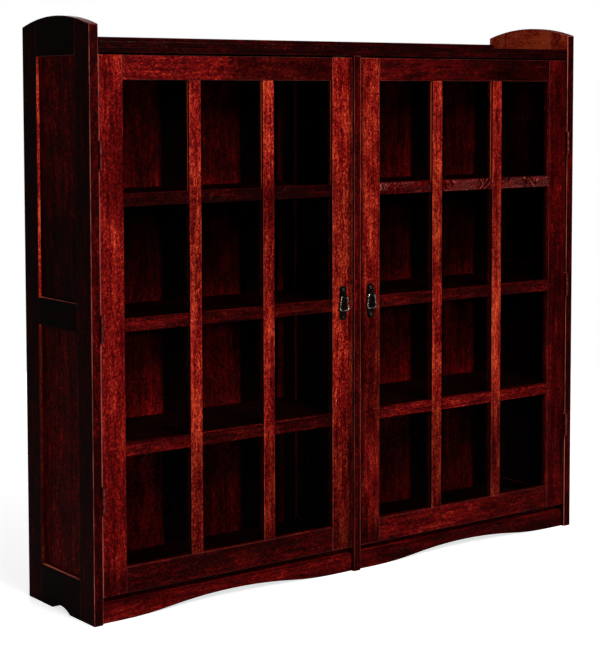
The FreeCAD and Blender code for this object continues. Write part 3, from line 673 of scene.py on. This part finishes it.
def ease_edges(node, width):
    """Rounds a wooden node's weighed edges and gives them the worn finish with its painted
    highlight.
    """
    weld = node.modifiers.new("weld", "WELD")
    weld.merge_threshold = WELD_REACH
    flat = node.modifiers.new("flat_faces", "DECIMATE")
    flat.decimate_type = "DISSOLVE"
    flat.angle_limit = FLAT
    bevel = node.modifiers.new("arris", "BEVEL")
    bevel.limit_method = "WEIGHT"
    bevel.width = width
    bevel.segments = ARRIS_FACETS
    bevel.material = WORN_AND_LIT_SLOT
    bevel.use_clamp_overlap = False
    bevel.harden_normals = False
    normals = node.modifiers.new("normals", "WEIGHTED_NORMAL")
    normals.keep_sharp = False
    faces = node.data.polygons
    faces.foreach_set("use_smooth", [True] * len(faces))


# ---------------------------------------------------------------- looks of the wood
WOOD_SLOTS = ("stained_oak", "back_board")

# Painted light and shade along the height or the depth: places in metres and the shade there.
PAINTED_SHADE_BY_HEIGHT = (
    (0.09, 0.25),
    (0.18, 0.5),
    (0.34, 0.5),
    (0.48, 1.0),
    (0.72, 1.0),
    (0.8, 0.7),
    (1.02, 0.7),
    (1.1, 1.05),
)
RIGHT_MEETING_SHADE = (
    (0.09, 0.3),
    (0.18, 0.8),
    (0.3, 0.8),
    (0.42, 0.35),
    (0.66, 0.35),
    (0.78, 0.9),
)
LIT_OVER_TOP_BOARD = ((1.389, 0.03), (1.393, 0.6))
LIT_ABOVE = ((1.0, 0.04), (1.03, 1.0))
INSIDE_LIT_ABOVE = ((1.0, 0.1), (1.05, 1.0))
INSIDE_SHADE_BY_DEPTH = ((0.0, 1.0), (0.12, 0.1))
RABBET_LIT_BY_DEPTH = ((-0.1545, 0.02), (-0.1525, 1.0))

# Special finishes that a node's tones name: their tone, contrast and shade. Those marked
# below paint light and shade.
SPECIAL = {
    # Painted light and shade on the back boards, in upright strips and by row of books.
    "planks": (0.2, 0.8, back_light_and_shade(1.0, 0.03)),
    # Painted light on the right side's inner faces over the top board, painted shade below it.
    "arch": (3.4, 1.0, fading(Z=LIT_OVER_TOP_BOARD)),
    # Painted light on the front of the left side's rear stile, brighter from 0.76 m up.
    "reveal": (2.6, 1.0, fading(Z=((0.64, 0.35), (0.76, 3.0)))),
    "far_reveal": (1.0, 1.0, 0.4),
    # Painted highlight on the side faces of the muntins and the left meeting stile: a line at the
    # glass side, in the top row only.
    "rabbet": (5.0, 0.4, fading(Z=LIT_ABOVE, Y=RABBET_LIT_BY_DEPTH)),
    # Painted shade towards the floor.
    "muntin": (1.35, 1.0, fading(Z=PAINTED_SHADE_BY_HEIGHT)),
    "bright_muntin": (1.75, 1.0, fading(Z=PAINTED_SHADE_BY_HEIGHT)),
    # Painted shade towards the floor and at the meeting stiles' edges beside the post; the right
    # one is also darker from 0.42 to 0.66 m up.
    "left_meeting": (1.5, 1.0, fading(Z=PAINTED_SHADE_BY_HEIGHT, X=((-0.034, 1.0), (-0.018, 0.3)))),
    "right_meeting": (1.2, 1.0, fading(Z=RIGHT_MEETING_SHADE, X=((0.018, 0.3), (0.032, 1.0)))),
    "left_top": (0.9, 1.0, fading(X=((-0.46, 1.0), (-0.36, 0.25)))),
    "right_top": (0.3, 1.0, fading(X=((0.36, 1.0), (0.52, 0.3)))),
    "right_foot": (0.65, 1.0, fading(X=((0.35, 1.0), (0.5, 0.6)))),
    "left_bar": (0.45, 1.0, fading(X=((-0.56, 1.0), (-0.46, 0.3)))),
    "figured_bar": (0.22, 1.0, 1.0),
    # Painted highlight along the tops of the left side's rails.
    "ledge": (5.0, 0.5, 4.0),
    # Painted shade at the foot of the left door's hinge stile.
    "left_hinge": (0.88, 1.0, fading(Z=((0.09, 0.35), (0.17, 1.0)))),
    # Painted light at the top of the left side's upper panel, darker below 0.92 m.
    "upper_panel": (0.5, 1.1, fading(Z=((0.92, 0.25), (1.1, 1.0)))),
    # Painted shade on the right side's inner upper panel: lit in the top row only, darker towards
    # the back.
    "right_inside": (0.12, 1.0, fading(Z=INSIDE_LIT_ABOVE, Y=INSIDE_SHADE_BY_DEPTH)),
}

# The fleck, and the worn and lit edge colour, of special finishes that don't take those of their
# node.
SPECIAL_FLECK = {"figured_bar": 1.8}
SPECIAL_WORN_AND_LIT = {"ledge": 2.5}

# Worn and lit edges at one edge of a stick only: a painted highlight, partly worn, along the
# left door's outer left edge.
WORN_AND_LIT_BY_PLACE = {"outer_left": fading(X=((-0.7685, 0.8), (-0.7665, 0.0)))}

# Words in a node's name, then its grain, share of ray fleck, how worn and lit its edges are,
# contrast of figure, width of its rounded edges and the tones of its faces by the way that
# they look. These tones are lit and shaded copies of one stain, which paint the light and
# shade on each way. Several tones are for its solids in turn, from the lowest or leftmost one.
# Faces with no tone of their own take the one for the rest. The worn and lit edges take the
# darkest tone of the front unless they have their own.
PLAIN = 0.8
WOOD_LOOKS = (
    ("back_panels", UP_FRONT, 0.0, 0.0, 1.0, WIDE, {"front": "planks", "rest": 0.5, "worn": 0.4}),
    ("shelf", FLAT_BOARD, 0.1, 0.0, 1.0, WIDE, {"front": 0.12, "top": 0.03, "rest": 0.3}),
    ("bottom_boards", FLAT_BOARD, 0.1, 0.0, 1.0, WIDE, {"front": 0.1, "top": 0.02}),
    ("top_board", FLAT_BOARD, 0.1, 0.0, 1.2, WIDE, {"front": 0.045, "top": 0.6}),
    ("gallery", ALONG_X, 0.05, 0.1, 1.2, THIN, {"front": 0.08}),
    ("front_top_rail", ALONG_X, 0.05, 0.05, 1.2, THIN, {"front": 0.045}),
    ("aprons", ALONG_X, 0.05, 0.0, 1.0, WIDE, {"front": (0.5, 0.24)}),
    ("partition_front", UP_FRONT, 0.0, 0.3, 1.0, WIDE, {"front": 0.26, "left": 0.06}),
    ("partition_rear", UP_SIDE, 0.0, 0.2, 1.0, WIDE,
     {"front": "far_reveal", "left": 0.05, "worn": 0.05}),
    ("partition panel", UP_SIDE, 0.0, 0.0, 1.0, WIDE, {"left": 0.03, "rest": 0.2}),
    ("partition rail", ALONG_Y, 0.0, 0.0, 1.0, WIDE, {"left": 0.03, "rest": 0.3}),
    ("left_side_upper_panel", UP_SIDE, 0.1, 0.0, 1.1, WIDE, {"left": "upper_panel", "rest": 0.2}),
    ("left_side_lower_panel", UP_SIDE, 0.1, 0.0, 1.1, WIDE, {"left": 0.42, "rest": 0.2}),
    ("left_side_rear", UP_SIDE, 0.0, 0.1, 1.1, WIDE,
     {"left": 0.06, "front": "reveal", "worn": 0.08}),
    ("left_side_front", UP_SIDE, 0.0, 0.7, 1.1, WIDE, {"left": 0.07, "front": 0.18}),
    ("left_side_top_rail", ALONG_Y, 0.1, 0.2, 1.1, WIDE, {"left": 0.025, "rest": 0.2}),
    ("left_side rail", ALONG_Y, 0.1, 0.0, 1.1, THIN, {"left": 0.015, "top": "ledge", "rest": 0.3}),
    ("right_side_top_rail", ALONG_Y, 0.1, 0.2, 1.0, WIDE, {"left": "arch", "rest": 0.6}),
    ("right_side_rear", UP_SIDE, 0.1, 0.0, 1.0, WIDE, {"left": "arch", "front": 0.02, "rest": 0.6}),
    ("right_side_front", UP_SIDE, 0.0, 1.6, 1.0, WIDE, {"left": "arch", "front": 0.2, "rest": 0.6}),
    ("right_side_upper_panel", UP_SIDE, 0.0, 0.0, 1.0, WIDE, {"left": "right_inside", "rest": 0.6}),
    ("right_side_lower_panel", UP_SIDE, 0.0, 0.0, 1.0, WIDE, {"left": 0.02, "rest": 0.6}),
    ("right_side rail", ALONG_Y, 0.0, 0.0, 1.0, WIDE, {"left": 0.02, "top": 0.02, "rest": 0.6}),
    ("left_door_hinge", UP_FRONT, 0.0, "outer_left", 1.0, WIDE, {"front": "left_hinge"}),
    ("right_door_hinge", UP_FRONT, 0.0, 0.15, 1.0, WIDE, {"front": 0.34}),
    ("left_door_meeting", UP_FRONT, 0.0, 0.3, 1.2, WIDE,
     {"front": "left_meeting", "left": "rabbet"}),
    ("right_door_meeting", UP_FRONT, 0.0, 0.3, 1.2, WIDE, {"front": "right_meeting", "left": 0.3}),
    ("left_door_muntins", UP_FRONT, 0.1, 0.1, 1.3, THIN,
     {"front": ("bright_muntin", "muntin"), "left": "rabbet"}),
    ("right_door_muntins", UP_FRONT, 0.1, 0.1, 1.3, THIN,
     {"front": ("muntin", "bright_muntin"), "left": "rabbet"}),
    ("left_door glazing_bars", ALONG_X, 0.1, 0.0, 1.2, THIN,
     {"front": ("left_bar", "left_bar", 0.045)}),
    ("right_door glazing_bars", ALONG_X, 0.1, 0.0, 1.2, THIN,
     {"front": (0.5, 0.12, "figured_bar")}),
    ("left_door_rails", ALONG_X, 0.05, 0.1, 1.0, WIDE, {"front": (0.1, "left_top")}),
    ("right_door_rails", ALONG_X, 0.05, 0.1, 1.0, WIDE, {"front": ("right_foot", "right_top")}),
    ("beads", ALONG_X, 0.1, 0.0, 1.0, THIN, {"rest": 0.1}),
)


# ---------------------------------------------------------------- dressing the nodes
def slot_of(node):
    """The record's material slot that a node was packed with."""
    return node.data.materials[0].name.split(".")[0]


def wood_look(name):
    """The look of a wooden node: the first entry that fits its name."""
    for words, *look in WOOD_LOOKS:
        if all(word in name for word in words.split()):
            return look
    raise KeyError(name)


def facing(normal):
    """The way that a face looks."""
    if normal.y < -MOSTLY:
        return "front"
    if normal.x < -MOSTLY:
        return "left"
    if normal.z > MOSTLY:
        return "top"
    return "rest"


def lowest_then_leftmost(box):
    """A box's rank in a node: its height, then its place from the left."""
    return box[0][[2, 0]].round(3).tolist()


def solid_numbers(node):
    """For each face of a node, the number of its solid from the lowest or leftmost one."""
    mesh, solids = loose_solids(node)
    boxes = sorted((box_of(solid) for solid in solids), key=lowest_then_leftmost)
    mesh.free()
    numbers = []
    for face in node.data.polygons:
        centre = np.array(face.center)
        inside = [np.all(low - BOX_PLAY < centre) and np.all(centre < high + BOX_PLAY)
                  for low, high in boxes]
        numbers.append(inside.index(True))
    return numbers


def stain(grain, tone, contrast, fleck, edge_wear_and_highlight=0.0):
    """The oak of a tone, which is a number or the name of a special finish."""
    label = tone if tone in SPECIAL else f"{tone:g}"
    fleck = SPECIAL_FLECK.get(tone, fleck)
    edge_wear_and_highlight = SPECIAL_WORN_AND_LIT.get(tone, edge_wear_and_highlight)
    tone, own_contrast, shade = SPECIAL.get(tone, (tone, 1.0, 1.0))
    contrast = round(contrast * own_contrast, 3)
    label = f"oak_{''.join(grain)}_{label}_{contrast:g}_{fleck:g}_{edge_wear_and_highlight}"
    edge_wear_and_highlight = WORN_AND_LIT_BY_PLACE.get(edge_wear_and_highlight, edge_wear_and_highlight)
    return oak(label.replace(".", "p"), grain, tone, fleck, edge_wear_and_highlight, contrast, shade)


def worn_and_lit_tone(tones, rest):
    """The tone of a node's worn and lit edges: their own, or else the darkest of its front."""
    fronts = tones.get("worn", tones.get("front", rest))
    if not isinstance(fronts, tuple):
        fronts = (fronts,)
    return min(SPECIAL[front][0] if front in SPECIAL else front for front in fronts)


def tone_of(tones, way, number, rest):
    """The tone of a face that looks some way, on a node's solid of some number."""
    tone = tones.get(way, rest)
    return tone[number] if isinstance(tone, tuple) else tone


def dress_wood(names):
    """Gives every wooden node its oak, by solid and by the way that a face looks, which paints
    light and shade.
    """
    mark_arrises(names)
    for name in names:
        node = NODES[name]
        grain, fleck, edge_wear_and_highlight, contrast, width, tones = wood_look(name)
        rest = tones.get("rest", PLAIN)
        several = isinstance(tones.get("front"), tuple)
        numbers = solid_numbers(node) if several else [0] * len(node.data.polygons)
        finishes = node.data.materials
        finishes.clear()
        finishes.append(stain(grain, rest, contrast, fleck))
        finishes.append(stain(grain, worn_and_lit_tone(tones, rest), contrast, fleck, edge_wear_and_highlight))
        for face, number in zip(node.data.polygons, numbers):
            tone = tone_of(tones, facing(face.normal), number, rest)
            finish = stain(grain, tone, contrast, fleck)
            if finish.name not in finishes:
                finishes.append(finish)
            face.material_index = finishes.find(finish.name)
        ease_edges(node, width)


def dress_rest(names):
    """Gives glass, metal and plastic nodes their finishes."""
    metals = {name: metal(name, *facts) for name, facts in METALS.items()}
    finishes = {
        "clear_glass": clear_glass(),
        "dark_bronze": metals["blackened_bronze"],
        "pin_brass": metals["pin_brass_worn"],
        "catch_brown": moulded_plastic("catch_brown_moulded", CATCH_DARK, CATCH_LIGHT),
    }
    for name in names:
        data = NODES[name].data
        finish = finishes[slot_of(NODES[name])]
        if "hinge" in name:
            finish = metals["stained_bronze"]
        elif "pull_bail" in name or "screws" in name:
            finish = metals["rubbed_bronze"]
        data.materials.clear()
        data.materials.append(finish)
        # The plate's side faces take the lighter bronze: a painted highlight along its edges,
        # partly worn.
        if "pull_plate" in name:
            data.materials.append(metals["rubbed_bronze"])
            for face in data.polygons:
                face.material_index = int(abs(face.normal.y) < MOSTLY)


wooden = [name for name in sorted(NODES) if slot_of(NODES[name]) in WOOD_SLOTS]
others = [name for name in sorted(NODES) if name not in wooden]
dress_wood(wooden)
dress_rest(others)


# ---------------------------------------------------------------- stage
def make_sky():
    """White behind the object as the camera sees it, and a soft even fill."""
    world = bpy.data.worlds.new("studio")
    bpy.context.scene.world = world
    world.use_nodes = True
    tree = world.node_tree
    tree.nodes.clear()
    path = add(tree, "LightPath").outputs
    towards = add(tree, "SeparateXYZ", {0: add(tree, "TexCoord").outputs["Generated"]})
    ends = (*SKY_CHANGE, SKY_SEEN_IN_FRONT, SKY_SEEN_BEHIND)
    backdrop = ranged(tree, towards.outputs["Y"], *ends)
    gloss = maths(tree, "MAXIMUM", path["Is Glossy Ray"], path["Is Transmission Ray"])
    soft = maths(tree, "MULTIPLY", gloss, maths(tree, "SUBTRACT", backdrop, SKY_FILL))
    soft = maths(tree, "ADD", soft, SKY_FILL)
    strength = maths(tree, "MAXIMUM", soft, path["Is Camera Ray"])
    sky = add(tree, "Background", {"Color": WHITE, "Strength": strength})
    add(tree, "OutputWorld", {"Surface": sky.outputs[0]})


def make_floor():
    """A pale floor that keeps the shadow and shows as white to the camera."""
    mesh = bmesh.new()
    bmesh.ops.create_circle(mesh, cap_ends=True, segments=FLOOR_SIDES, radius=FLOOR_REACH)
    data = bpy.data.meshes.new("floor")
    mesh.to_mesh(data)
    mesh.free()
    floor = bpy.data.objects.new("floor", data)
    bpy.context.scene.collection.objects.link(floor)
    material, tree = new_material("pale_floor")
    pale = add(tree, "BsdfDiffuse", {"Color": FLOOR_PALE})
    path = add(tree, "LightPath").outputs
    seen = maths(tree, "MAXIMUM", path["Is Camera Ray"], path["Is Transmission Ray"])
    gloss = maths(tree, "MULTIPLY", path["Is Glossy Ray"], FLOOR_SEEN_IN_GLOSS)
    shine = maths(tree, "MAXIMUM", maths(tree, "MULTIPLY", seen, FLOOR_SEEN), gloss)
    glow = add(tree, "Emission", {"Strength": shine})
    show(tree, add(tree, "AddShader", {0: pale.outputs[0], 1: glow.outputs[0]}))
    data.materials.append(material)


def make_lamp(name, place, size, watts, aim):
    """A soft rectangular lamp."""
    light = bpy.data.lights.new(name, "AREA")
    light.shape = "RECTANGLE"
    light.size, light.size_y = size
    light.energy = watts
    lamp = bpy.data.objects.new(name, light)
    lamp.location = place
    look = Vector(aim) - Vector(place)
    lamp.rotation_euler = look.to_track_quat("-Z", "Y").to_euler()
    bpy.context.scene.collection.objects.link(lamp)


def make_camera():
    """The photograph's viewpoint."""
    data = bpy.data.cameras.new("photo_view")
    data.lens = CAMERA_LENS_MM
    data.shift_x, data.shift_y = CAMERA_SHIFT
    camera = bpy.data.objects.new("photo_view", data)
    camera.location = CAMERA_PLACE
    camera.rotation_euler = [math.radians(turn) for turn in CAMERA_TURN_DEGREES]
    bpy.context.scene.collection.objects.link(camera)
    bpy.context.scene.camera = camera


make_sky()
make_floor()
for lamp_name, lamp_facts in LAMPS.items():
    make_lamp(lamp_name, *lamp_facts)
make_camera()
bpy.context.scene.view_settings.view_transform = "Standard"
